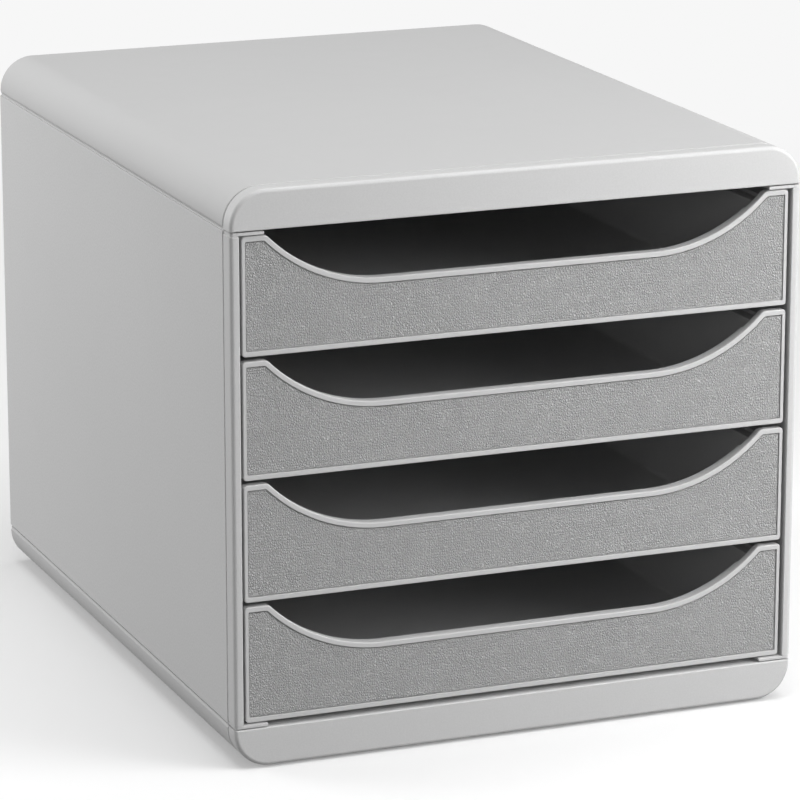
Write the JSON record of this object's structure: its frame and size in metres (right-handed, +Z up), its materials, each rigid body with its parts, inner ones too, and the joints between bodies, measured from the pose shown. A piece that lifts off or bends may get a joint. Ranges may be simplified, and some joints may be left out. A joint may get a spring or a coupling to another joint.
{
  "type": "desktop file drawer",
  "caption": "Desktop filing box for A4 paper: a light grey plastic casing with stacked drawers that slide out by scooped front grips.",
  "frame": {"origin": "middle of the footprint, on the surface that the feet rest on", "axes": "the drawers open towards -Y, +X is to the right seen from the front, +Z is up"},
  "size_m": [0.278, 0.347, 0.267],
  "materials": {
    "cover_plastic": "smooth satin moulded polystyrene, light grey",
    "panel_plastic": "fine grained matt moulded polystyrene, light grey",
    "fascia_plastic": "fine grained satin moulded polystyrene, light grey",
    "drawer_front_plastic": "smooth satin rim round a darker pebble grained field, mid grey",
    "tray_plastic": "satin moulded polystyrene, light grey as the casing",
    "runner_plastic": "satin moulded polystyrene, light grey",
    "foot_rubber": "matt soft rubber"
  },
  "bodies": {
    "casing": {"top_cover": "cover_plastic", "base_cover": "cover_plastic", "top_front_fascia": "fascia_plastic", "bottom_front_fascia": "fascia_plastic", "left_side_panel": "panel_plastic", "right_side_panel": "panel_plastic", "back_panel": "panel_plastic", "left_front_stile": "fascia_plastic", "right_front_stile": "fascia_plastic", "left_runner_frame": "runner_plastic", "right_runner_frame": "runner_plastic", "foot_front_left": "foot_rubber", "foot_front_right": "foot_rubber", "foot_rear_left": "foot_rubber", "foot_rear_right": "foot_rubber"},
    "drawer_1": {"drawer_1_front": "drawer_front_plastic", "drawer_1_tray": "tray_plastic"},
    "drawer_2": {"drawer_2_front": "drawer_front_plastic", "drawer_2_tray": "tray_plastic"},
    "drawer_3": {"drawer_3_front": "drawer_front_plastic", "drawer_3_tray": "tray_plastic"},
    "drawer_4": {"drawer_4_front": "drawer_front_plastic", "drawer_4_tray": "tray_plastic"}
  },
  "joints": [
    {"name": "drawer_1_slide", "type": "slide", "parent": "casing", "child": "drawer_1", "axis": [0, -1, 0], "range_m": [0, 0.2405]},
    {"name": "drawer_2_slide", "type": "slide", "parent": "casing", "child": "drawer_2", "axis": [0, -1, 0], "range_m": [0, 0.2405]},
    {"name": "drawer_3_slide", "type": "slide", "parent": "casing", "child": "drawer_3", "axis": [0, -1, 0], "range_m": [0, 0.2405]},
    {"name": "drawer_4_slide", "type": "slide", "parent": "casing", "child": "drawer_4", "axis": [0, -1, 0], "range_m": [0, 0.2405]}
  ]
}
